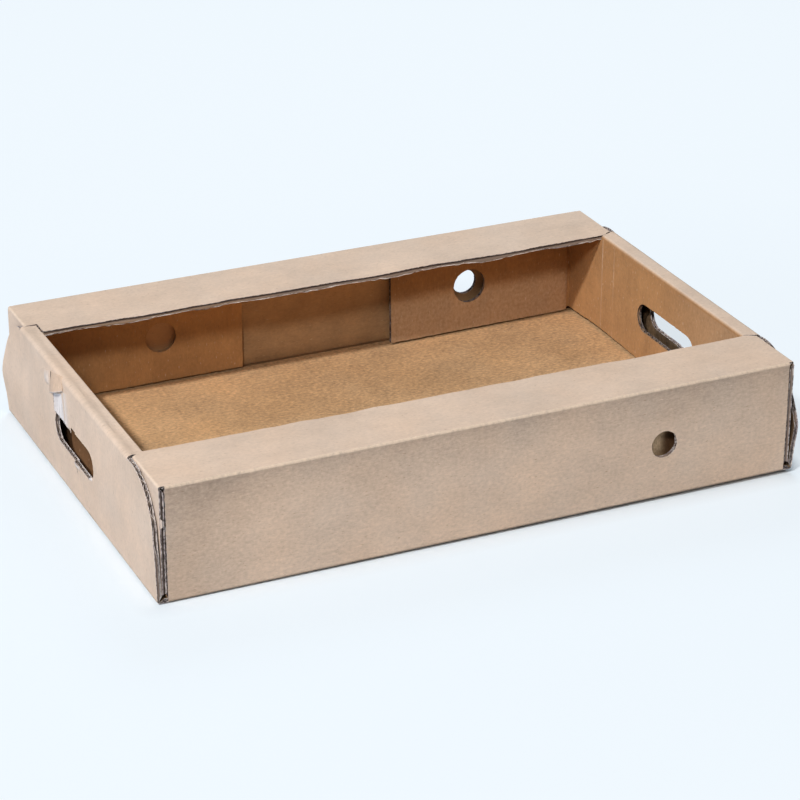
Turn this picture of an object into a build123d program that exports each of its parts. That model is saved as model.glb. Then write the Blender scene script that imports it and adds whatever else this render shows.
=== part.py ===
from build123d import *
import os

# Overall size of the folded tray, outside to outside
tray_length = 600
tray_width = 400
tray_height = 105

# Single wall corrugated board and its creases
board = 4
fold_radius = 0.8
ply_gap = 0.4
overrun = 10

# Shelves that fold inward along the tops of the long walls, and the flaps at their ends
shelf_depth = 68
flap_floor_gap = 3
flap_edge_inset = 0.8

# Rolled ends: outer panel with round shoulders, rim strip, inner panel
rim_width = 17
rim_taper = 5
panel_edge_inset = 0.6
ear_width = 7
ear_drop = 1
shoulder_inset = 8
shoulder_drop = 37
inner_floor_gap = 1

# Wings that fold from the inner end panels and lie along the long walls
left_wing_end = 70
right_wing_end = 82
loose_wing_standoff = 5

# Punched holes: vents in the long walls, wider clearance holes in the back wings, hand holes in the ends
vent_diameter = 25
vent_from_centre = 167
vent_height = 51
wing_hole_diameter = 34
blind_hole_diameter = 30
blind_hole_from_centre = 152
hand_hole_length = 106
hand_hole_width = 28
hand_hole_height = 52
hand_hole_offset = 3

# Liner torn away above the left hand hole: places along the hole and up to the rim, in shares
tear_depth = 0.5
tear_shares = [(0.14, -0.06), (0.40, -0.06), (0.49, 0.36), (0.54, 0.66), (0.46, 0.86), (0.22, 0.80)]

# Sizes that follow from the ones above
half_length = tray_length / 2
half_width = tray_width / 2
bend_radius = board + fold_radius
flap_face = half_length - board - ply_gap
wall_end = flap_face - bend_radius
inner_face = half_length - rim_width
wing_face = half_width - board - ply_gap
neck_half = half_width - shelf_depth - ply_gap
rim_half = neck_half + rim_taper


def creased(points):
    """Outside line of a run of board, rounded at every crease."""
    return FilletPolyline(*points, radius=bend_radius)


def folded_sheet(plane, outside_line, width):
    """Board lying inside a creased line, as wide as its fold lines are long."""
    outside = outside_line.wire()
    sections = [Face(outside.offset_2d(board, side=side)) for side in (Side.LEFT, Side.RIGHT)]
    inward = min(sections, key=lambda section: section.area)
    return extrude(plane * inward, amount=width / 2, both=True)


def punch(plane, sketch, reach):
    """Solid that a punch of the given outline sweeps out on both sides of its plane."""
    return extrude(plane * sketch, amount=reach, both=True)


def base_with_walls():
    """Base, both long walls and their shelves, one run of board along the tray."""
    shelf_edge = half_width - shelf_depth
    run = [
        (-shelf_edge, tray_height),
        (-half_width, tray_height),
        (-half_width, 0),
        (half_width, 0),
        (half_width, tray_height),
        (shelf_edge, tray_height),
    ]
    walls = folded_sheet(Plane.YZ, creased(run), 2 * wall_end)
    base = Box(
        2 * (half_length - bend_radius),
        2 * (half_width - bend_radius),
        board,
        align=(Align.CENTER, Align.CENTER, Align.MIN),
    )
    vents = Pos(vent_from_centre, vent_height) * Circle(vent_diameter / 2)
    return walls + base - punch(Plane.XZ, vents, half_width + overrun)


def shelf_flaps():
    """Flaps that hang from the right ends of both shelves and close the raw ends of the long walls."""
    crease = JernArc(start=(wall_end, tray_height), tangent=(1, 0), radius=bend_radius, arc_size=-90)
    drop = Line(crease @ 1, (flap_face, board + flap_floor_gap))
    flaps = folded_sheet(Plane.XZ, crease + drop, tray_width)
    seen_from_end = RectangleRounded(tray_width - 2 * flap_edge_inset, tray_height, bend_radius)
    seen_from_end = Pos(0, tray_height / 2) * seen_from_end
    flaps = flaps & punch(Plane.YZ, seen_from_end, tray_length)
    return flaps - punch(Plane.XY, rim_plan(ply_gap), tray_height + overrun)


def shelf_slits():
    """Cuts that part the right ends of both shelves from the rim strip."""
    return punch(Plane.XY.offset(tray_height), rim_plan(ply_gap), bend_radius)


def rim_plan(clearance):
    """Plan of the right rim strip, wider at its outer crease than at its inner one."""
    narrow = neck_half + clearance
    wide = rim_half + clearance
    inside = inner_face - overrun
    crease = inner_face + board
    outside = half_length + overrun
    corners = [
        (inside, narrow),
        (crease, narrow),
        (half_length, wide),
        (outside, wide),
        (outside, -wide),
        (half_length, -wide),
        (crease, -narrow),
        (inside, -narrow),
    ]
    return Polygon(*corners, align=None)


def end_panel_outline():
    """Outer end panel seen from the end: round shoulders, and a gap where the rim strip leaves it."""
    edge = half_width - panel_edge_inset
    top = tray_height - ear_drop
    ear = rim_half + ply_gap
    slot_floor = tray_height - bend_radius
    shoulder_top = (ear + ear_width, top)
    shoulder_foot = (edge - shoulder_inset, top - shoulder_drop)
    shoulder = TangentArc(shoulder_top, shoulder_foot, tangent=(1, 0))
    side = Polyline(shoulder_foot, (edge, bend_radius), (edge, -overrun), (0, -overrun))
    crown = Polyline((0, slot_floor), (ear, slot_floor), (ear, top), shoulder_top)
    half = make_face(crown + shoulder + side + Line((0, -overrun), (0, slot_floor)))
    return half + mirror(half, about=Plane.YZ)


def outer_end():
    """Right outer end panel, folded up from the base."""
    run = [
        (wall_end + ply_gap, 0),
        (half_length, 0),
        (half_length, tray_height),
    ]
    panel = folded_sheet(Plane.XZ, creased(run), tray_width)
    return panel & punch(Plane.YZ, end_panel_outline(), tray_length)


def rolled_rim():
    """Right rim strip rolled over the top of the end, with the neck of the inner panel."""
    run = [
        (half_length, tray_height / 2),
        (half_length, tray_height),
        (inner_face, tray_height),
        (inner_face, board + inner_floor_gap),
    ]
    strip = folded_sheet(Plane.XZ, creased(run), 2 * rim_half)
    return strip & punch(Plane.XY, rim_plan(0), tray_height + overrun)


def inner_end(wing_end, back_standoff):
    """Right inner end panel with its two wings, standing on the base under the shelves."""
    corner = inner_face + board
    run = [
        (wing_end, -wing_face),
        (corner, -wing_face),
        (corner, wing_face),
        (wing_end, wing_face - back_standoff),
    ]
    foot = board + inner_floor_gap
    head = tray_height - board - ply_gap
    panel = folded_sheet(Plane.XY, creased(run), head - foot)
    return Pos(0, 0, (foot + head) / 2) * panel


def wing_hole(diameter, from_centre):
    """Round hole through the back wing of the right end."""
    hole = Pos(from_centre, vent_height) * Circle(diameter / 2)
    return punch(Plane.XZ.offset(-half_width), hole, half_width / 2)


def torn_liner():
    """Shallow recess where the outer liner is torn away between the left hand hole and the rim."""
    hole_top = hand_hole_height + hand_hole_width / 2
    torn_height = tray_height - hole_top
    corners = [
        (hand_hole_offset + along * hand_hole_length, hole_top + up * torn_height)
        for along, up in tear_shares
    ]
    outline = Polygon(*corners, align=None)
    return Pos(-half_length, 0, 0) * punch(Plane.YZ, outline, tear_depth)


# Long run of board, with its shelves slit clear of the rim strips
flaps = shelf_flaps()
slits = shelf_slits()
long_run = base_with_walls() + flaps + mirror(flaps, about=Plane.YZ)
long_run = long_run - slits - mirror(slits, about=Plane.YZ)

# Right and left ends, each with its own wings
right_wings = inner_end(right_wing_end, loose_wing_standoff) - wing_hole(wing_hole_diameter, vent_from_centre)
left_wings = inner_end(left_wing_end, 0) - wing_hole(blind_hole_diameter, blind_hole_from_centre)
end_shell = outer_end() + rolled_rim()
right_end = end_shell + right_wings
left_end = mirror(end_shell + left_wings, about=Plane.YZ)

# One folded sheet, then the hand holes through both plies of each end
tray = long_run + right_end + left_end
hand_hole = Pos(hand_hole_offset, hand_hole_height) * SlotOverall(hand_hole_length, hand_hole_width)
tray = tray - punch(Plane.YZ, hand_hole, half_length + overrun)
tray = tray - torn_liner()

os.makedirs("parts", exist_ok=True)
export_step(tray, "parts/tray.step")
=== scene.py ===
import cmath
import math

import bmesh
import bpy
from mathutils import Matrix, Vector, noise


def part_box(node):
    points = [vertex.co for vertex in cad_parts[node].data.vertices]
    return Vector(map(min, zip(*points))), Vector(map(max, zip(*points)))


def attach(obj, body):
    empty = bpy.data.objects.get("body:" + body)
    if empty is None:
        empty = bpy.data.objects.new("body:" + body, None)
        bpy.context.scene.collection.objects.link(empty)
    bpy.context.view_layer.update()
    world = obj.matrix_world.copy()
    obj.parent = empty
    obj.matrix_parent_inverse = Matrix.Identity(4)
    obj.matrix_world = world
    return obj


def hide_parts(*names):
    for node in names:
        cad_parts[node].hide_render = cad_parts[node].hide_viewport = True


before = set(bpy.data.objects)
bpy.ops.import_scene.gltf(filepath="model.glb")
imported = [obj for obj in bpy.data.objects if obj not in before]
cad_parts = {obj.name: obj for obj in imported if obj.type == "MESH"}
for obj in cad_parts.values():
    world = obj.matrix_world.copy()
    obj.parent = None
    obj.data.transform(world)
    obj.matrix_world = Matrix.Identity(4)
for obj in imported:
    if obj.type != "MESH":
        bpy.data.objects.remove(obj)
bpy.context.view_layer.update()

# The blank: one die-cut sheet of single wall corrugated board, lying flat with its outside down.
# Its flutes run along the tray. Each panel joins the next at a scored crease, or is parted from it
# by a slit, and the panels of one quarter are the same in all four but for the length of the wings.
mm = 0.001
low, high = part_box("tray")
half_length = high.x
half_width = high.y
tray_height = high.z
board = 4 * mm
ply_gap = 0.4 * mm
shelf_depth = 68 * mm
rim_width = 17 * mm
rim_taper = 5 * mm
long_rim_reach = 150 * mm
neck_half = half_width - shelf_depth - ply_gap
rim_half = neck_half + rim_taper
inner_face = half_length - rim_width
foot = board + 0.6 * mm
flap_foot = board + 3 * mm
wall_end_inset = 9.2 * mm
wall_end = half_length - wall_end_inset
wing_ends = {-1: 70 * mm, 1: 82 * mm}
slit_gap = 0.9 * mm


def rim_reach(end, side):
    """How far a rim strip runs along its outer crease: further at the back left, where it laps the shelf."""
    return long_rim_reach if end < 0 < side else rim_half


class Run:
    """Section through folded board: straight legs, and square creases that all turn the same way."""

    crease_share = 0.94
    crush_reach = 4.5 * mm
    crushed_core = 0.4 * mm

    def __init__(self, start, heading, turn, spans, radii, rubs):
        self.start = start
        self.heading = heading
        self.turn = turn
        self.radii = radii
        self.rubs = rubs
        self.legs = [span - before - after for span, before, after in zip(spans, [0, *radii], [*radii, 0])]
        self.bends = [radius * self.crease_share for radius in radii]

    def at(self, leg, reach):
        """Distance along the sheet of a place on a leg, reckoned from the sharp corner where it starts."""
        return sum(self.legs[:leg]) + sum(self.bends[:leg]) + reach - (self.radii[leg - 1] if leg else 0)

    def creases(self):
        """Where each crease starts and ends along the sheet."""
        bent = enumerate(zip(self.radii, self.bends), start=1)
        starts = [self.at(leg, radius) - bend for leg, (radius, bend) in bent]
        return [(start, start + bend) for start, bend in zip(starts, self.bends)]

    def crush(self, distance):
        """Share of the board's thickness left near a tight crease, where the scoring rule pressed it."""
        left = 1
        for (start, end), radius in zip(self.creases(), self.radii):
            tight = min(1, (radius - self.crushed_core) / board)
            away = min(1, max(start - distance, distance - end, 0) / self.crush_reach)
            left = min(left, tight + (1 - tight) * away * away * (3 - 2 * away))
        return left

    def place(self, distance, depth):
        """Point so far along the sheet and so deep in it, as a complex number in the section's plane."""
        depth *= self.crush(distance)
        corner = self.start
        heading = self.heading
        for leg, radius, bend in zip(self.legs, self.radii, self.bends):
            if distance <= leg:
                break
            inward = heading * 1j * self.turn
            corner += heading * leg + inward * radius
            distance -= leg
            if distance < bend:
                swing = cmath.exp(0.5j * math.pi * self.turn * distance / bend)
                return corner - inward * swing * (radius - depth)
            corner += heading * radius
            heading = inward
            distance -= bend
        return corner + heading * distance + heading * 1j * self.turn * depth


# Sections across the tray, along it through an end, along it through a shelf flap, and round a wing
long_spans = [half_width, tray_height, shelf_depth]
end_spans = [half_length, tray_height, rim_width, tray_height - foot]
flap_spans = [half_length - board - ply_gap, tray_height - flap_foot]
wing_spans = [half_width - board - ply_gap, half_length]
across_run = Run(0, 1, 1, long_spans, radii=[1.5 * mm, 1.7 * mm], rubs=[0.1, 0.6])
end_run = Run(0, 1, 1, end_spans, radii=[2 * mm, 3.4 * mm, 2.2 * mm], rubs=[0.1, 0, 0.08])
flap_run = Run(tray_height * 1j, 1, -1, flap_spans, radii=[1.7 * mm], rubs=[0.3])
wing_run = Run(inner_face + board, 1j, 1, wing_spans, radii=[4.8 * mm], rubs=[0.15])


def wall_at(height):
    """Distance across the sheet of a height on a long wall."""
    return across_run.at(1, height)


def shelf_at(across):
    """Distance across the sheet of a place on a shelf or on its flap."""
    return across_run.at(2, half_width - across)


def panel_at(height):
    """Distance along the sheet of a height on an outer end panel."""
    return end_run.at(1, height)


def inner_at(height):
    """Distance along the sheet of a height on an inner end panel or a wing."""
    return end_run.at(3, tray_height - height)


def wing_at(along):
    """Distance across the sheet of a place along a wing."""
    return wing_run.at(1, inner_face + board - along)


shelf_start = across_run.creases()[1][1]
rim_crease = end_run.creases()[1][0]
inner_top = inner_at(tray_height - board - ply_gap)


def arc(centre, radius, first, last, steps):
    """Points of an arc, its angles in degrees."""
    turns = [math.radians(first + (last - first) * n / steps) for n in range(steps + 1)]
    return [(centre[0] + radius * math.cos(turn), centre[1] + radius * math.sin(turn)) for turn in turns]


panel_edge_inset = 0.6 * mm
panel_foot = 6 * mm
ear_drop = 1 * mm
ear_width = 7.4 * mm
shoulder_inset = 8 * mm
full_shoulder_inset = 4 * mm
shoulder_drop = 37 * mm
shoulder_foot = 42 * mm
flap_edge_inset = 0.8 * mm
flap_corner_radius = 2 * mm
rim_lap = 0.7 * mm
rim_end_inset = 2 * mm


def quarter_panels(end, side):
    """Outlines of the panels in one quarter of the blank, as places along and across it."""
    reach = rim_reach(end, side)
    edge = half_width - panel_edge_inset
    ear = reach + ply_gap
    ear_top = panel_at(tray_height - ear_drop)
    shoulder_top = rim_half + ear_width
    inset = full_shoulder_inset if end < 0 and side < 0 else shoulder_inset
    shoulder_reach = edge - inset - shoulder_top
    shoulder_radius = (shoulder_reach ** 2 + shoulder_drop ** 2) / (2 * shoulder_drop)
    sweep = math.degrees(math.asin(shoulder_reach / shoulder_radius))
    shoulder = arc((ear_top - shoulder_radius, shoulder_top), shoulder_radius, 0, sweep, 14)
    shoulder = [point for point in shoulder if point[1] > ear]
    flap_side = shelf_at(half_width - flap_edge_inset)
    flap_crease = flap_run.creases()[0][1]
    flap_round = (flap_crease + flap_corner_radius, flap_side + flap_corner_radius)
    flap_corner = arc(flap_round, flap_corner_radius, 180, 270, 5)
    flap_end = flap_run.at(1, tray_height - flap_foot)
    shelf_end = shelf_at(half_width - shelf_depth)
    rim_end = [(end_run.creases()[2][0], neck_half)]
    if reach > rim_half:
        slit = shelf_at(reach - rim_lap)
        shelf_corner = [(wall_end, slit), (inner_face + rim_lap, slit), (inner_face + rim_lap, shelf_end)]
        rim_end.append((end_run.creases()[2][0], reach - rim_end_inset))
    else:
        slit = shelf_at(reach + slit_gap)
        middle_slit = shelf_at(reach - rim_taper / 2 + slit_gap)
        shelf_corner = [(wall_end, middle_slit), (inner_face + board, shelf_end)]
    inner_foot = inner_at(foot)
    base_edge = across_run.creases()[0][0]
    wing_reach = wing_at(wing_ends[end])
    return [
        [(0, 0), (wall_end, 0), *shelf_corner, (0, shelf_end)],
        [(wall_end, shelf_start), (flap_crease, shelf_start), *flap_corner,
         (flap_end, flap_side), (flap_end, slit), (flap_crease, slit), shelf_corner[0]],
        [(wall_end, 0), (rim_crease, 0), (rim_crease, ear), (ear_top - 0.5 * mm, ear), *shoulder,
         (panel_at(shoulder_foot), edge), (panel_at(panel_foot), edge),
         (wall_end + ply_gap, edge), (wall_end, base_edge)],
        [(rim_crease, 0), (inner_top, 0), (inner_top, neck_half), *rim_end, (rim_crease, reach)],
        [(inner_top, 0), (inner_foot, 0), (inner_foot, wing_reach), (inner_top, wing_reach)],
    ]


rub_reach = 0.7 * mm


def split_places(runs, corners, reach, spacing, crease_cuts):
    """Places at which the sheet is split: through every crease, at panel corners and evenly between."""
    places = set(corners)
    for start, end in [crease for run in runs for crease in run.creases()]:
        places.update(start + (end - start) * n / crease_cuts for n in range(crease_cuts + 1))
        for beside in (rub_reach, Run.crush_reach / 2, Run.crush_reach):
            places.update((start - beside, end + beside))
    fixed = sorted(places | {0, reach})
    for before, after in zip(fixed, fixed[1:]):
        cuts = math.ceil((after - before) / spacing - 0.01)
        places.update(before + (after - before) * n / cuts for n in range(1, cuts))
    return sorted(places | {-place for place in places})


def flat_sheet(along_places, across_places):
    """The blank as one flat sheet of faces, split at the given places."""
    sheet = bmesh.new()
    for end in (-1, 1):
        for side in (-1, 1):
            for outline in quarter_panels(end, side):
                corners = [sheet.verts.new((end * along, side * across, 0)) for along, across in outline]
                sheet.faces.new(corners)
    for direction, places in ((Vector((0, 1, 0)), across_places), (Vector((1, 0, 0)), along_places)):
        for place in places:
            everything = sheet.verts[:] + sheet.edges[:] + sheet.faces[:]
            bmesh.ops.bisect_plane(sheet, geom=everything, dist=1e-7,
                                   plane_co=direction * place, plane_no=direction)
    bmesh.ops.remove_doubles(sheet, verts=sheet.verts, dist=2e-6)
    for face in sheet.faces:
        face.normal_update()
    bmesh.ops.reverse_faces(sheet, faces=[face for face in sheet.faces if face.normal.z < 0])
    return sheet


def punch(sheet, outline):
    """Cuts a hole with a convex outline, given anticlockwise, out of a flat sheet."""
    reach = 60 * mm
    lows = [min(point[n] for point in outline) - reach for n in (0, 1)]
    highs = [max(point[n] for point in outline) + reach for n in (0, 1)]
    waste = []
    for face in sheet.faces:
        middle = face.calc_center_bounds()
        if all(lows[n] < middle[n] < highs[n] for n in (0, 1)):
            waste.append(face)
    for (x, y), (next_x, next_y) in zip(outline, outline[1:] + outline[:1]):
        start = Vector((x, y, 0))
        outward = Vector((next_y - y, x - next_x, 0)).normalized()
        around = {part for face in waste for part in (*face.verts, *face.edges, face)}
        cut = bmesh.ops.bisect_plane(sheet, geom=list(around), dist=1e-7, plane_co=start, plane_no=outward)
        faces = {part for part in cut["geom"] if isinstance(part, bmesh.types.BMFace)}
        waste = [face for face in faces if (face.calc_center_median() - start).dot(outward) < 0]
    bmesh.ops.delete(sheet, geom=waste, context="FACES")


vent_diameter = 25 * mm
vent_along = 167 * mm
vent_height = 51 * mm
wing_hole_diameter = 34 * mm
blind_hole_diameter = 30 * mm
blind_along = 152 * mm
hand_height = 52 * mm
hand_length = 106 * mm
hand_width = 28 * mm
hand_offset = 3 * mm


def round_hole(along, across, diameter):
    """Outline of a round hole in the blank."""
    return arc((along, across), diameter / 2, 0, 345, 23)


def hand_hole(along):
    """Outline of a hand hole, long across an end panel and round at both ends."""
    middle = (hand_length - hand_width) / 2
    far = arc((along, hand_offset + middle), hand_width / 2, 0, 180, 14)
    near = arc((along, hand_offset - middle), hand_width / 2, 180, 360, 14)
    return far + near


def punch_holes(sheet):
    """Cuts the vents, the holes of the back wings and both plies of the hand holes."""
    for side in (-1, 1):
        punch(sheet, round_hole(vent_along, side * wall_at(vent_height), vent_diameter))
    punch(sheet, round_hole(inner_at(vent_height), wing_at(vent_along), wing_hole_diameter))
    punch(sheet, round_hole(-inner_at(vent_height), wing_at(blind_along), blind_hole_diameter))
    for end in (-1, 1):
        punch(sheet, hand_hole(end * panel_at(hand_height)))
        punch(sheet, hand_hole(end * inner_at(hand_height)))


def ease(share):
    """Smooth step from 0 to 1."""
    share = min(1, max(0, share))
    return share * share * (3 - 2 * share)


peel_depth = 1.2 * mm
base_sag = 2.8 * mm
crease_pinch = 0.6 * mm
pinch_reach = 9 * mm
wall_bulge = 0.8 * mm
wing_dent = 14 * mm
dent_reach = 30 * mm
dent_height = 54 * mm
panel_lean = 2.5 * mm
panel_slack = 7 * mm
rim_drop = 1.6 * mm
rim_curl = 0.5 * mm
side_flare = 4.2 * mm
panel_swell = 1.2 * mm


def shelf_sag(flat):
    """How far a shelf droops towards its free edge, where its lower liner is peeled in places."""
    side = math.copysign(1, flat.y)
    reach = (abs(flat.y) - shelf_start) / (shelf_depth - 2.2 * mm)
    free = 1 - (abs(flat.x) / wall_end) ** 6
    ripple = noise.noise(Vector((flat.x * 14, side, 0))) + 0.4 * noise.noise(Vector((flat.x * 45, side, 5)))
    sag = reach ** 2 * free * (0.9 + 1.5 * ripple) * mm
    if flat.z > board / 2:
        peel = 0.5 + 2 * noise.noise(Vector((flat.x * 22, side, 9)))
        peel += noise.noise(Vector((flat.x * 160, side, 2)))
        sag += peel_depth * max(0, peel) * ease((reach - 0.95) * 20)
    return sag


def wall_bow(flat):
    """How far a long wall is pinched below its top crease and bowed out half way up."""
    along, across = abs(flat.x), abs(flat.y)
    wall_rise = (across - wall_at(0)) / tray_height
    below_crease = (wall_at(tray_height) - across) / pinch_reach
    pinch = crease_pinch * below_crease * math.exp(1 - below_crease) * ease(wall_rise * 4)
    return pinch - wall_bulge * math.sin(math.pi * ease(wall_rise)) * (1 - (along / wall_end) ** 2)


def wing_spring(flat, uneven):
    """How far a wing stands off its wall: the back right one is loose, the front right one is dented."""
    across = abs(flat.y)
    height = inner_at(0) - abs(flat.x)
    if flat.x < 0:
        return uneven * 0.5 - 0.6 * mm
    if flat.y < 0:
        beyond = (wing_at(vent_along - 9 * mm) - across) / dent_reach
        level = 1 - abs(height - vent_height) / dent_height
        return -wing_dent * max(0, ease(beyond) * ease((2.6 - beyond) / 1.4) * level)
    free = across - wing_at(inner_face)
    sprung = (4.5 - 3 * height / tray_height) * free / (200 * mm)
    return uneven * 0.5 - mm * (2.5 + 2 * ease(free / (14 * mm)) + sprung)


def inner_slack(flat):
    """How far an inner end panel stands off: the right one leans at the back, the left one hangs slack."""
    across = abs(flat.y)
    if flat.x > 0:
        return -panel_lean * ease((flat.y - neck_half) / (60 * mm))
    height = inner_at(0) - abs(flat.x)
    dropped = rim_drop * ease((height - 80 * mm) / (20 * mm))
    if across >= neck_half:
        return dropped
    return dropped - panel_slack * math.sin(math.pi * height / tray_height) * (1 - (across / neck_half) ** 2)


def rim_set(flat):
    """How far the left rim strip has dropped towards the inside, and curled up at its back end."""
    if flat.x > 0:
        return 0
    curled = rim_curl * ease((flat.y - neck_half + 4 * mm) / (14 * mm))
    return rim_drop * ease((abs(flat.x) - rim_crease) / rim_width) - curled


def end_flare(flat):
    """How far an outer end panel stands proud: it flares at one side and swells at the other."""
    height = abs(flat.x) - panel_at(0)
    if math.copysign(1, flat.x) * math.copysign(1, flat.y) < 0:
        flare = ease((abs(flat.y) - 95 * mm) / (105 * mm))
        return -side_flare * flare * math.exp(-((height - 46 * mm) / (27 * mm)) ** 2)
    return -panel_swell * math.exp(-((height - 50 * mm) / (30 * mm)) ** 2)


def settle(flat):
    """How far the board has sprung or sagged out of true at a place of the blank, as a change of depth."""
    along, across = abs(flat.x), abs(flat.y)
    uneven = 0.5 * mm * noise.noise(Vector((flat.x * 9, flat.y * 9, 3)))
    if along <= wall_end:
        if across >= shelf_start:
            return shelf_sag(flat)
        if across < half_width - board:
            return uneven - base_sag * (1 - (along / wall_end) ** 2) * (1 - (across / half_width) ** 2)
        return uneven + wall_bow(flat)
    if along > inner_top - ply_gap:
        return wing_spring(flat, uneven) if across > half_width else uneven + inner_slack(flat)
    if across >= half_width:
        return 0
    return rim_set(flat) if along > rim_crease + 6 * mm else uneven + end_flare(flat)


def fold(flat):
    """Place in the folded tray of a point of the flat blank."""
    end = math.copysign(1, flat.x)
    side = math.copysign(1, flat.y)
    along, across = abs(flat.x), abs(flat.y)
    depth = flat.z + settle(flat)
    if along <= wall_end:
        section = across_run.place(across, depth)
        return Vector((flat.x, side * section.real, section.imag))
    if across > wall_at(tray_height / 2) and along < rim_crease:
        section = flap_run.place(along, depth)
        return Vector((end * section.real, side * (shelf_at(0) - across), section.imag))
    if along > inner_top - ply_gap and across > neck_half + ply_gap / 2:
        plan = wing_run.place(across, board - depth)
        return Vector((end * plan.real, side * plan.imag, inner_at(0) - along))
    if along > rim_crease and across > rim_reach(end, side) + ply_gap / 2:
        return Vector((end * (half_length - depth), flat.y, along - panel_at(0)))
    section = end_run.place(along, depth)
    return Vector((end * section.real, flat.y, section.imag))


# The outside liner: smooth pale kraft paper glued over the tips of the flutes.
# It is the face of the shelves, rims and end panels, and of the inner ends and wings once they are
# folded in. The die cut leaves its edges ragged, creases and hands have marked it, and shade and light are
# painted on it.
liner = 0.5 * mm
liner_spacing = 14 * mm
buckles = [128 * mm, 105 * mm]
buckle_width = 1.4 * mm
along_corners = {wall_end, inner_face + board, inner_top, inner_at(vent_height)}
across_corners = {
    neck_half, rim_half, rim_half + ply_gap, long_rim_reach, long_rim_reach + ply_gap,
    *[wing_at(vent_along + shift * 5 * mm) for shift in range(-3, 10)],
    *[line + shift * buckle_width for line in buckles for shift in (-1, 0, 1)],
    *[wall_at(tray_height - below) for below in (pinch_reach, 16 * mm, 26 * mm)],
    shelf_at(half_width - shelf_depth) - 3 * mm,
}
along_places = split_places([end_run, flap_run], along_corners, inner_at(foot), liner_spacing, crease_cuts=4)
widest = wing_at(wing_ends[-1])
across_places = split_places([across_run, wing_run], across_corners, widest, liner_spacing, crease_cuts=4)


class Shade:
    """A socket of a shader node tree, so that mixes of paint are written as plain sums."""

    def __init__(self, tree, socket=None):
        self.tree = tree
        self.socket = socket

    def node(self, kind, settings=None, inputs=None, output=0):
        """Adds a node: its settings first, then the values or links of its sockets."""
        made = self.tree.nodes.new(kind)
        for name, value in (settings or {}).items():
            setattr(made, name, value)
        for name, value in (inputs or {}).items():
            if isinstance(value, Shade):
                self.tree.links.new(value.socket, made.inputs[name])
            else:
                made.inputs[name].default_value = value
        return Shade(self.tree, made.outputs[output])

    def attribute(self, name):
        """Value that each point of the mesh carries under a name."""
        return self.node("ShaderNodeAttribute", {"attribute_name": name}, output=2)

    def maths(self, operation, first, second=0.0):
        """Adds a Math node."""
        return self.node("ShaderNodeMath", {"operation": operation}, {0: first, 1: second})

    def __add__(self, other):
        return self.maths("ADD", self, other)

    def __sub__(self, other):
        return self.maths("SUBTRACT", self, other)

    def __rsub__(self, other):
        return self.maths("SUBTRACT", other, self)

    def __mul__(self, other):
        return self.maths("MULTIPLY", self, other)

    __radd__ = __add__
    __rmul__ = __mul__

    def clamp(self):
        """The value held between 0 and 1."""
        return self.node("ShaderNodeClamp", None, {"Value": self})

    def mix(self, first, second):
        """First colour turned into the second by this value."""
        return self.node("ShaderNodeMix", {"data_type": "RGBA"}, {0: self, 6: first, 7: second}, output=2)


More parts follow.
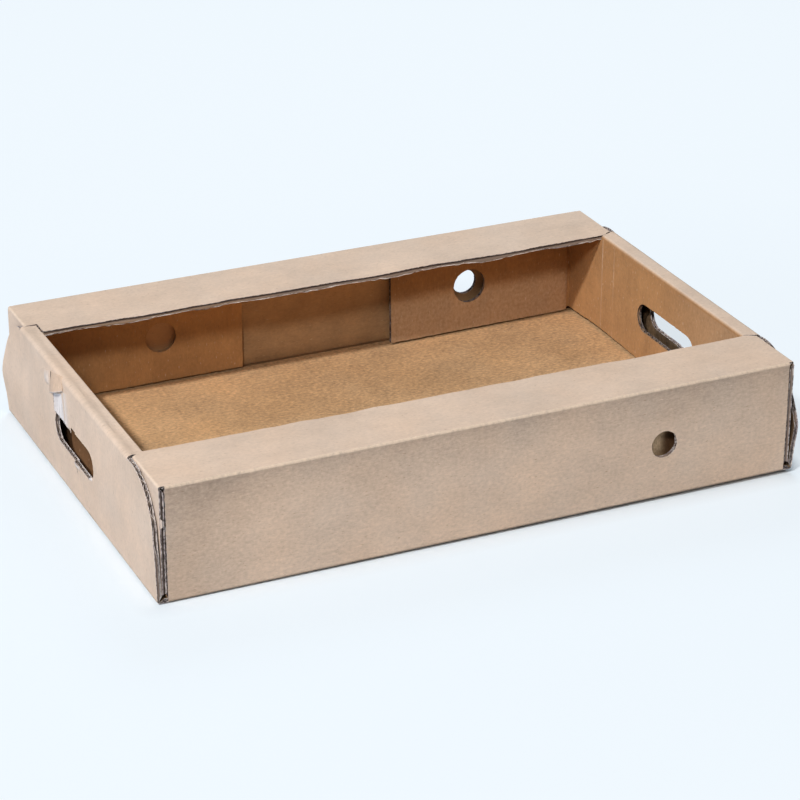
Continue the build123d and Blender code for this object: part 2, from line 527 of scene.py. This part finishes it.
def paper(name, colours, folded_in_and_painted_shade_colour, worn_and_painted_light_colour, cloudy, grain, flecks):
    """Kraft paper on the blank's own coordinates: cloudy, streaked along the flutes, flecked with fibre."""
    stuff = bpy.data.materials.new(name)
    stuff.use_nodes = True
    shader = stuff.node_tree.nodes["Principled BSDF"]
    blank = Shade(stuff.node_tree)
    flat = blank.node("ShaderNodeUVMap", {"uv_map": "blank"})
    wear_and_painted_light = blank.attribute("wear_and_painted_light")
    tone_and_painted_light = blank.attribute("tone_and_painted_light")
    coarse = blank.attribute("coarse")
    folded_in_and_painted_shade = blank.attribute("folded_in_and_painted_shade")
    torn = blank.attribute("torn")

    def cloud(along_scale, across_scale, detail, rough=0.55):
        """Noise about zero, with a scale of its own along the flutes and across them."""
        scale = (along_scale, across_scale, 1)
        stretched = blank.node("ShaderNodeMapping", None, {"Vector": flat, "Scale": scale})
        inputs = {"Vector": stretched, "Scale": 1.0, "Detail": detail, "Roughness": rough}
        return blank.node("ShaderNodeTexNoise", None, inputs) - 0.5

    fibre = cloud(160, 900, 2)
    speckle = cloud(280, 350, 2, 0.6)
    streak = cloud(9, 330, 3)
    hue = (cloud(17, 13, 2) * 3 + 0.5).clamp()
    clean = folded_in_and_painted_shade.mix(hue.mix((*colours[0], 1), (*colours[1], 1)), (*folded_in_and_painted_shade_colour, 1))
    patches = (cloud(12, 16, 2) + 0.6 * cloud(55, 70, 2)) * (cloudy + folded_in_and_painted_shade * 0.3)
    # The tone carries the painted shade and light of the mesh, as well as its own patches and grain.
    tone = 1 + patches + (speckle + fibre * 0.6) * grain * coarse + tone_and_painted_light
    tone = tone + streak * (0.06 + folded_in_and_painted_shade * 0.1 + torn * 0.9)
    tinted = blank.node("ShaderNodeMix", {"data_type": "RGBA", "blend_type": "MULTIPLY"},
                        {0: 1.0, 6: clean, 7: tone}, output=2)
    long_fleck = (cloud(230, 900, 1) - 0.17) * 9
    cross_fleck = ((cloud(900, 260, 1) - 0.17) * 9).clamp()
    dark_fleck = (long_fleck + cross_fleck).clamp() * flecks
    pale_fleck = ((cloud(200, 600, 1) - 0.18) * 9).clamp() * flecks
    rubbed_and_painted_light = (wear_and_painted_light * (0.9 + speckle * 1.6)).clamp()
    skin = dark_fleck.mix(tinted, (0.22, 0.12, 0.055, 1))
    skin = pale_fleck.mix(skin, (*worn_and_painted_light_colour, 1))
    skin = rubbed_and_painted_light.mix(skin, (*worn_and_painted_light_colour, 1))
    pulp = (0.9 + streak * 1.6 + speckle * 0.8).clamp().mix((0.30, 0.22, 0.18, 1), (0.74, 0.68, 0.655, 1))
    skin = torn.mix(skin, pulp)
    blank.tree.links.new(skin.socket, shader.inputs["Base Color"])
    blank.tree.links.new((0.8 + speckle * 0.4).socket, shader.inputs["Roughness"])
    shader.inputs["Specular IOR Level"].default_value = 0.3
    height = speckle * (0.1 + (grain + 0.3) * coarse) + fibre * 0.4
    height = height + streak * (0.2 * coarse + folded_in_and_painted_shade * 0.3 + torn)
    bump = blank.node("ShaderNodeBump", None, {"Height": height, "Strength": 0.5, "Distance": 0.4 * mm})
    blank.tree.links.new(bump.socket, shader.inputs["Normal"])
    return stuff


handled_edge = half_length - 4.5 * mm


def raw_edge(name):
    """Cut edge of the paper: grey brown, mottled where the die crushed it and pale where it frayed, and
    painted near black as shade on the folded-in panels.
    """
    stuff = bpy.data.materials.new(name)
    stuff.use_nodes = True
    shader = stuff.node_tree.nodes["Principled BSDF"]
    edge = Shade(stuff.node_tree)
    place = edge.node("ShaderNodeTexCoord", output=3)

    def mottle(scale):
        """Noise from 0 to 1."""
        return edge.node("ShaderNodeTexNoise", None, {"Vector": place, "Scale": scale, "Detail": 2.0})

    crushed = ((mottle(420) - 0.36) * 4).clamp().mix((0.095, 0.078, 0.078, 1), (0.43, 0.365, 0.365, 1))
    frayed = ((mottle(300) - 0.495) * 9).clamp().mix(crushed, (0.66, 0.60, 0.57, 1))
    reach = edge.node("ShaderNodeSeparateXYZ", None, {"Vector": place}, output=0)
    handled = ((-handled_edge - reach) * 2000).clamp() * ((mottle(520) - 0.42) * 8).clamp() * 0.8
    frayed = handled.mix(frayed, (0.70, 0.62, 0.57, 1))
    # Painted shade: the cut edges of the folded-in panels are darkened nearly to black.
    frayed = (edge.attribute("folded_in_and_painted_shade") * 0.7).mix(frayed, (0.06, 0.04, 0.028, 1))
    blind_hole = Vector((-blind_along, half_width, vent_height))
    blind_reach = 25 * mm
    apart = edge.node("ShaderNodeVectorMath", {"operation": "DISTANCE"}, {0: place, 1: blind_hole}, output=1)
    frayed = ((blind_reach - apart) * 1000).clamp().mix(frayed, (0.46, 0.26, 0.12, 1))
    frayed = edge.attribute("torn").mix(frayed, (0.78, 0.71, 0.66, 1))
    edge.tree.links.new(frayed.socket, shader.inputs["Base Color"])
    shader.inputs["Roughness"].default_value = 0.95
    shader.inputs["Specular IOR Level"].default_value = 0.15
    return stuff


def crease_wear(flat):
    """How much the paper is rubbed pale by the creases it lies on."""
    along, across = abs(flat.x), abs(flat.y)
    if along <= wall_end:
        place, run = across, across_run
    elif across > wall_at(tray_height / 2) and along < rim_crease:
        place, run = along, flap_run
    elif along > inner_top - ply_gap and across > neck_half:
        place, run = across, wing_run
    else:
        place, run = along, end_run
    rubs = zip(run.creases(), run.rubs)
    return max(rub * max(0, 1 - max(start - place, place - end, 0) / rub_reach) for (start, end), rub in rubs)


def scuffs_and_painted_light(flat):
    """How much the panels folded into the right end are painted pale: cracked along their buckles, paler
    towards the front of the inner panel, painted light on the lit lower back wing, and scuffed beside the
    front vent.
    """
    along, across = abs(flat.x), abs(flat.y)
    if along < inner_top or flat.x < 0:
        return 0
    height = inner_at(0) - along
    if across < half_width:
        bent = min(abs(flat.y - line) for line in buckles)
        cracked = 0.17 + 0.45 * noise.noise(Vector((height * 30, flat.y * 60, 6)))
        cracked = max(0, cracked) * max(0, 1 - bent / buckle_width)
        return max(0.14 * ease((40 * mm - flat.y) / (160 * mm)), cracked)
    # Painted light: the lower part of the back wing, below the shelf's shadow, is painted paler.
    if flat.y > 0:
        return 0.27 * ease((66 * mm - height) / (30 * mm))
    beside_vent = across - wing_at(vent_along + 13 * mm)
    return 0.95 * ease(beside_vent / (16 * mm)) if flat.z > board / 2 else 0


def roughen(sheet, spacing, depth):
    """Divides the cut edges of a flat sheet and makes them ragged."""
    long_edges = [edge for edge in sheet.edges if edge.is_boundary and edge.calc_length() > 1.6 * spacing]
    cuts = {}
    for edge in long_edges:
        cuts.setdefault(round(edge.calc_length() / spacing) - 1, []).append(edge)
    for count, edges in cuts.items():
        bmesh.ops.subdivide_edges(sheet, edges=edges, cuts=max(1, count))
    for vert in sheet.verts:
        if vert.is_boundary:
            inward = sum((face.calc_center_median() - vert.co for face in vert.link_faces), Vector())
            bite = 0.5 + noise.noise(vert.co * 420) + 0.5 * noise.noise(vert.co * 90)
            vert.co += inward.normalized() * depth * max(0, bite)


def raise_feet(sheet):
    """Lifts the ragged feet of the inner panels and wings a little off the floor, most at the back right."""
    for vert in sheet.verts:
        if abs(vert.co.x) > inner_at(foot) - 1 * mm:
            ragged = 0.5 + abs(noise.noise(vert.co * 160)) + 0.6 * abs(noise.noise(vert.co * 500))
            back_right = vert.co.x > 0 and 0 < vert.co.y < half_width
            lift = 0.7 + 1.5 * ease((vert.co.y - 30 * mm) / (120 * mm)) if back_right else 0.3
            vert.co.x -= math.copysign((lift + ragged) * mm, vert.co.x)


behind_left_wing = -75 * mm
behind_right_wing = 90 * mm
base_half = half_width - 3 * mm


def tone_and_painted_light_at(flat):
    """How much lighter or darker the paper is painted at a place: painted shade between plies, on the bottom
    folds and under the shelf crease, painted light in the shade of the shelves and wings, and broad slopes on
    the floor and front wall.
    """
    along, across = abs(flat.x), abs(flat.y)
    inside = flat.z > board / 2
    if along > wall_end:
        if along > rim_crease:
            # Painted light: the upper part of the back left wing, in the shelf's shadow, is painted lighter.
            left_wing = flat.x < 0 and flat.y > half_width
            return 0.1 + 0.5 * ease((inner_at(40 * mm) - along) / (40 * mm)) if left_wing else 0
        # Painted shade: the inside face of the outer end panels, between the plies, and their bottom fold are
        # darkened.
        shaded_bottom_fold = along < end_run.creases()[0][1] and across < half_width
        return -0.8 if inside else -0.5 * shaded_bottom_fold
    # The floor is painted lighter towards its left end.
    if across < across_run.creases()[0][0]:
        return 0.16 * ease((20 * mm - flat.x) / (220 * mm)) if inside else 0
    if across > wall_at(tray_height):
        return 0
    # Painted light: the inside of the long wall behind the left wing, seen through the wing's hole, is
    # painted much lighter.
    if inside and flat.x < behind_left_wing:
        return 1.2
    # Painted light: the inside of the long walls is painted lighter towards the top, in the shelves' shadow,
    # except behind the right wing.
    if inside:
        return 0.4 * ease((across - wall_at(30 * mm)) / (40 * mm)) * (flat.x < behind_right_wing)
    # Painted shade: the bottom fold of the long walls is darkened.
    if across < across_run.creases()[0][1]:
        return -0.4
    # Painted shade: a dark band just under the shelf crease. The front wall is also painted darker towards
    # its left end.
    below_crease = (wall_at(tray_height) - across) / (32 * mm)
    return -0.2 * math.exp(-below_crease ** 2) - 0.13 * ease((-flat.x - 190 * mm) / (80 * mm)) * (flat.y < 0)


def coarseness(flat):
    """How much the paper's grain shows at a place: most on the base, least on the rims and shelves."""
    along, across = abs(flat.x), abs(flat.y)
    if along < wall_end and across < base_half:
        return 1
    smooth = across > shelf_start if along < wall_end else along < inner_top
    return 0.2 if smooth else 0.35


def browned_and_painted_shade_at(flat):
    """How brown the paper is at a place: most on what is folded in, where the outside liner is truly brown
    but the inside liner and cut edges get painted shade, and some painted shade on the inside of the long
    walls.
    """
    along, across = abs(flat.x), abs(flat.y)
    # Painted shade: the inside of the long walls is mixed towards dark brown, most behind the left wing.
    if along < wall_end and across > base_half and flat.z > board / 2:
        return 0.8 if flat.x < behind_left_wing else 0.3
    turned_start, turned_end = end_run.creases()[2]
    return ease((along - turned_start) / (turned_end - turned_start))


def finish_paper(sheet, thickness, tornness=None, core=0):
    """Thickens a flat sheet, marks wear, painted shade and light and cut edges, and folds it up. Core is the
    side of the fluting.
    """
    flat_uv = sheet.loops.layers.uv.new("blank")
    wear_and_painted_light = sheet.verts.layers.float.new("wear_and_painted_light")
    tone_and_painted_light = sheet.verts.layers.float.new("tone_and_painted_light")
    coarse = sheet.verts.layers.float.new("coarse")
    folded_in_and_painted_shade = sheet.verts.layers.float.new("folded_in_and_painted_shade")
    torn = sheet.verts.layers.float.new("torn")
    for face in sheet.faces:
        face.smooth = len(face.verts) == 4 and not any(vert.is_boundary for vert in face.verts)
    for vert in sheet.verts:
        vert[wear_and_painted_light] = max(crease_wear(vert.co), scuffs_and_painted_light(vert.co))
        vert[tone_and_painted_light] = tone_and_painted_light_at(vert.co)
        vert[coarse] = coarseness(vert.co)
        vert[folded_in_and_painted_shade] = browned_and_painted_shade_at(vert.co)
        vert[torn] = tornness(vert.co) if tornness else 0
    bmesh.ops.solidify(sheet, geom=sheet.faces[:], thickness=-thickness)
    depths = [vert.co.z for vert in sheet.verts]
    middle = (min(depths) + max(depths)) / 2
    for face in sheet.faces:
        face.normal_update()
        centre = face.calc_center_median()
        inner_side = core * (centre.z - middle) > thickness / 4
        if inner_side or abs(face.normal.z) < 0.3:
            face.material_index = 1
            face.smooth = False
        for loop in face.loops:
            loop[flat_uv].uv = loop.vert.co.xy
    for vert in sheet.verts:
        vert.co = fold(vert.co)
    bmesh.ops.recalc_face_normals(sheet, faces=sheet.faces[:])


def liner_sheet(depth, tears=(), tornness=None):
    """One liner of the folded tray, its outer face so deep in the board."""
    sheet = flat_sheet(along_places, across_places)
    punch_holes(sheet)
    for tear in tears:
        punch(sheet, tear)
    bmesh.ops.remove_doubles(sheet, verts=sheet.verts, dist=0.2 * mm)
    roughen(sheet, 2.5 * mm, 0.4 * mm)
    raise_feet(sheet)
    for vert in sheet.verts:
        vert.co.z = depth
    finish_paper(sheet, liner, tornness, 1 if depth < board / 2 else -1)
    return sheet


def add_piece(name, sheet, materials):
    """Puts a finished mesh into the scene as a piece that rides with the tray."""
    mesh = bpy.data.meshes.new(name)
    sheet.to_mesh(mesh)
    sheet.free()
    for material in materials:
        mesh.materials.append(material)
    piece = bpy.data.objects.new(name, mesh)
    bpy.context.scene.collection.objects.link(piece)
    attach(piece, "root")
    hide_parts("tray")


cut_edge = raw_edge("cut_paper_edge")
pale_kraft = [(0.635, 0.475, 0.36), (0.605, 0.47, 0.37)]
brown_kraft = (0.41, 0.215, 0.09)
outside_paper = paper("outside_kraft", pale_kraft, brown_kraft, (0.76, 0.61, 0.47), 0.3, 1.3, 0.5)


def tear_places(places):
    """Places in the flat blank of points on the left outer end panel, given as widths and heights."""
    return [(-panel_at(height * mm), width * mm) for width, height in places]


tear_stripe = tear_places([(28, 62.5), (57.5, 62.5), (58, 79), (34, 88)])
tear_window = tear_places([(30, 92), (63, 78), (66.5, 88), (62, 98), (36, 102)])
add_piece("outside_liner", liner_sheet(0, [tear_stripe, tear_window]), [outside_paper, cut_edge])


# Scraps of the outside liner, torn up above the left hand hole by the hands that carried the tray.
# They are thin kraft paper, which hangs on by one side, lies on the flutes or stands out as a small nick
# at the front left corner, pale where its fibres were pulled apart.
scrap_thickness = 0.25 * mm


def scrap(name, corners, cells, fringe, lift, tornness, painted_warm_shade=0):
    """Small loose patch of liner between four places of the blank, lifted out of the board by a formula."""
    sheet = bmesh.new()
    bmesh.ops.create_grid(sheet, x_segments=cells, y_segments=cells, size=0.5)
    torn_at = {}
    for vert in sheet.verts:
        s, t = vert.co.x + 0.5, vert.co.y + 0.5
        near = Vector(corners[0]).lerp(Vector(corners[1]), s)
        far = Vector(corners[3]).lerp(Vector(corners[2]), s)
        ragged = fringe * noise.noise(Vector((s * 23, 0, 7))) * (1 - t) ** 6
        vert.co = (*near.lerp(far, t + ragged), -lift(s, t) * mm)
        torn_at[vert.co.to_tuple(6)] = tornness(s, t)
    finish_paper(sheet, scrap_thickness, lambda place: torn_at[place.to_tuple(6)])
    folded_in_and_painted_shade = sheet.verts.layers.float["folded_in_and_painted_shade"]
    for vert in sheet.verts:
        vert[folded_in_and_painted_shade] = painted_warm_shade
    for face in sheet.faces:
        face.material_index = 0
        face.smooth = True
    add_piece(name, sheet, [outside_paper])


def torn_ridges(s, t):
    """Skin of fibre left on the flute tips, lying on the liner where that was not torn away."""
    ridge = abs(math.sin(math.pi * s * 5.5 + 0.7))
    sunk = 0.35 * ridge - 0.75 + 0.25 * noise.noise(Vector((s * 14, t * 3, 0)))
    return 0.06 + (sunk - 0.06) * ease((s - 0.25) * 5)


scrap("torn_fibre", tear_places([(11, 62), (59, 62), (59, 80), (17, 96)]), 44, 0.12, torn_ridges,
      lambda s, t: ease(s * 2.4))
# The torn tab is tinted browner all over: painted warm shade under the lifted paper.
scrap("torn_tab", tear_places([(27, 93.5), (62.5, 77.5), (60.5, 100), (32, 104)]), 20, 0,
      lambda s, t: 0.05 + 4.2 * (1 - ease(t * 0.95)) * math.sin(math.pi * (0.06 + 0.8 * ease(s))),
      lambda s, t: 0.9 * ease(1 - t * 14), 0.22)
scrap("torn_bed", tear_places([(28, 90), (68, 76), (68, 99), (34, 103)]), 20, 0,
      lambda s, t: -0.8 + 0.15 * noise.noise(Vector((s * 9, t * 9, 3))), lambda s, t: 0.25)
scrap("torn_curl", tear_places([(64.5, 82), (82, 80), (84, 92), (62.5, 99.5)]), 20, 0,
      lambda s, t: 1.9 * math.sin(math.pi * min(1, s * 1.05 + 0.02)) ** 0.7 * math.sin(math.pi * t) - 0.02,
      lambda s, t: 0.6 * math.sin(math.pi * t) * math.sin(math.pi * s))
scrap("torn_lip", tear_places([(-14, 34.5), (4, 34), (6, 38.8), (-16, 38.8)]), 16, 0.5,
      lambda s, t: 0.04 + 1.3 * t * math.sin(math.pi * s), lambda s, t: ease(t * 2) * math.sin(math.pi * s))
nick_places = [(-flap_run.at(1, tray_height - height * mm), -shelf_at(width * mm))
               for width, height in [(198.6, 67), (198.6, 77), (200.4, 74), (200.4, 70)]]
scrap("torn_nick", nick_places, 8, 0, lambda s, t: 0.1 - 3.4 * t, lambda s, t: 0.35)
scrap("torn_shred", tear_places([(-48, 40.5), (-36, 37.5), (-37, 40), (-46.5, 44.5)]), 12, 0.5,
      lambda s, t: 0.04 + 0.8 * t * math.sin(math.pi * s), lambda s, t: ease(t * 2) * math.sin(math.pi * s))

# The inside liner: rougher golden kraft, glued to the other side of the flutes.
# It is the floor of the tray and the inner face of the long walls, and its pale fibres show where it
# is peeled along the free edges of the shelves.
golden_kraft = [(0.535, 0.325, 0.165), (0.505, 0.318, 0.17)]
# Painted shade: the inside liner's folded-in faces and the inside of the long walls are mixed towards this
# dark brown.
painted_shade_kraft = (0.215, 0.11, 0.052)
inside_paper = paper("inside_kraft", golden_kraft, painted_shade_kraft, (0.66, 0.47, 0.29), 0.6, 1.2, 0.6)


def shelf_fray(flat):
    """How much the liner is peeled to pale fibre along the free edges of the shelves."""
    if abs(flat.x) > inner_face or abs(flat.y) < shelf_at(half_width - shelf_depth) - 2.5 * mm:
        return 0
    return ease(0.75 + 1.6 * noise.noise(Vector((flat.x * 24, flat.y, 4))))


add_piece("inside_liner", liner_sheet(board - liner, (), shelf_fray), [inside_paper, cut_edge])

# The fluting: brown paper pressed into waves and glued between the liners, seen wherever the die cut
# through the board. Its waves run across the blank, so cuts along the tray show hollow and cuts across
# it show the zigzag.
flute_pitch = 7.5 * mm
cuts_per_flute = 6
flute_spacing = 55 * mm
medium = 0.35 * mm
flute_places = split_places([], set(), widest, flute_pitch / cuts_per_flute, crease_cuts=0)
flute_along = split_places([end_run, flap_run], along_corners, inner_at(foot), flute_spacing, crease_cuts=3)
fluting_sheet = flat_sheet(flute_along, flute_places)
punch_holes(fluting_sheet)
bmesh.ops.remove_doubles(fluting_sheet, verts=fluting_sheet.verts, dist=0.2 * mm)
roughen(fluting_sheet, 8 * mm, 0.9 * mm)
raise_feet(fluting_sheet)
wave_height = (board - 2 * liner - medium) / 2
for vert in fluting_sheet.verts:
    vert.co.z = (board - medium) / 2 + wave_height * math.sin(math.tau * vert.co.y / flute_pitch)
finish_paper(fluting_sheet, medium)
grey_kraft = [(0.22, 0.16, 0.13), (0.205, 0.16, 0.135)]
fluting_paper = paper("fluting_kraft", grey_kraft, (0.25, 0.16, 0.10), (0.50, 0.40, 0.32), 0.3, 0.4, 0.2)
add_piece("fluting", fluting_sheet, [fluting_paper, cut_edge])

# The floor: a plain pale table top, which the tray touches along its left end and under its bowed base.
# The camera sees it glow white, but for a narrow band round the tray that keeps its shadow.
floor_half = 8
floor_drop = 1.5 * mm
foot_gap = 1.3 * mm
floor_sheet = bmesh.new()
bmesh.ops.create_grid(floor_sheet, x_segments=1, y_segments=1, size=floor_half)
for vert in floor_sheet.verts:
    vert.co.z = -foot_gap - floor_drop * (1 + vert.co.x / half_length)
floor_mesh = bpy.data.meshes.new("floor")
floor_sheet.to_mesh(floor_mesh)
floor_sheet.free()
floor = bpy.data.objects.new("floor", floor_mesh)
bpy.context.scene.collection.objects.link(floor)
floor_paint = bpy.data.materials.new("floor_paint")
floor_paint.use_nodes = True
floor_tree = floor_paint.node_tree
floor_shader = floor_tree.nodes["Principled BSDF"]
floor_shader.inputs["Roughness"].default_value = 0.9
floor_shade = Shade(floor_tree)
seen = floor_shade.node("ShaderNodeLightPath", output=0)
floor_place = floor_shade.node("ShaderNodeTexCoord", output=3)


def floor_gap(axis, half):
    """How far a place on the floor is beyond the side of the tray."""
    reach = floor_shade.node("ShaderNodeSeparateXYZ", None, {"Vector": floor_place}, output=axis)
    beyond = reach.maths("ABSOLUTE", reach) - half
    return beyond.maths("MAXIMUM", beyond, 0.0)


away_x = floor_gap(0, half_length)
away_y = floor_gap(1, half_width)
away_squared = away_x * away_x + away_y * away_y
away = away_squared.maths("SQRT", away_squared)
white_share = (away * 45).clamp() * 0.74 + ((away - 0.08) * 3).clamp() * 0.2
floor_colour = seen.mix((0.58, 0.62, 0.66, 1), (0.76, 0.83, 0.89, 1))
floor_tree.links.new(floor_colour.socket, floor_shader.inputs["Base Color"])
glow = floor_shade.node("ShaderNodeEmission", None, {"Color": (0.875, 0.945, 1.0, 1), "Strength": 1.0})
matt = Shade(floor_tree, floor_shader.outputs[0])
lit_floor = floor_shade.node("ShaderNodeMixShader", None, {0: seen * white_share, 1: matt, 2: glow})
floor_tree.links.new(lit_floor.socket, floor_tree.nodes["Material Output"].inputs["Surface"])
floor_mesh.materials.append(floor_paint)


# Light: a small lamp high on the left casts the shadows. A soft box stands in front of the tray, with
# cool fills on the left and behind it, and a pale sky all round that the camera sees as white.
sky_light = 0.125
sky_seen = 0.855


def soft_box(name, place, size, energy, colour):
    """Round lamp that points at the middle of the tray."""
    lamp = bpy.data.objects.new(name, bpy.data.lights.new(name, "AREA"))
    bpy.context.scene.collection.objects.link(lamp)
    lamp.data.energy = energy
    lamp.data.shape = "DISK"
    lamp.data.size = size
    lamp.data.color = colour
    lamp.location = place
    lamp.rotation_euler = (-Vector(place)).to_track_quat("-Z", "Y").to_euler()


soft_box("key", (-3.34, -2.25, 4.44), 0.3, 266, (1.0, 0.975, 0.945))
soft_box("front", (-2.25, -3.1, 3.2), 0.6, 76, (1.0, 0.955, 0.90))
soft_box("left_fill", (-3.8, -0.2, 1.2), 1.5, 36, (0.485, 0.70, 1.0))
soft_box("back_fill", (0.6, 1.2, 1.4), 0.9, 12, (0.78, 0.90, 1.0))
world = bpy.data.worlds.new("sky")
bpy.context.scene.world = world
world.use_nodes = True
sky = world.node_tree.nodes["Background"]
sky.inputs["Color"].default_value = (0.90, 0.95, 1, 1)
sky_shade = Shade(world.node_tree)
sky_strength = sky_light + sky_seen * sky_shade.node("ShaderNodeLightPath", output=0)
world.node_tree.links.new(sky_strength.socket, sky.inputs["Strength"])

# Camera: a long lens, a little to the left of the front and above the rim. Its place, angles and lens
# were fitted to the tray's corners in the photograph.
view_azimuth = math.radians(-24.774)
view_elevation = math.radians(25.280)
view_roll = math.radians(0.287)
camera_place = Vector((-938.92, -2050.24, 1104.24)) * mm
back = Vector((math.sin(view_azimuth) * math.cos(view_elevation),
               -math.cos(view_azimuth) * math.cos(view_elevation),
               math.sin(view_elevation)))
level = (-back).cross(Vector((0, 0, 1))).normalized()
upright = level.cross(-back)
right = level * math.cos(view_roll) + upright * math.sin(view_roll)
up = upright * math.cos(view_roll) - level * math.sin(view_roll)
camera = bpy.data.objects.new("camera", bpy.data.cameras.new("camera"))
bpy.context.scene.collection.objects.link(camera)
camera.data.lens = 124.155
camera.data.sensor_width = 36
camera.matrix_world = Matrix.Translation(camera_place) @ Matrix((right, up, back)).transposed().to_4x4()
bpy.context.scene.camera = camera
bpy.context.scene.view_settings.view_transform = "Standard"

bpy.context.view_layer.update()
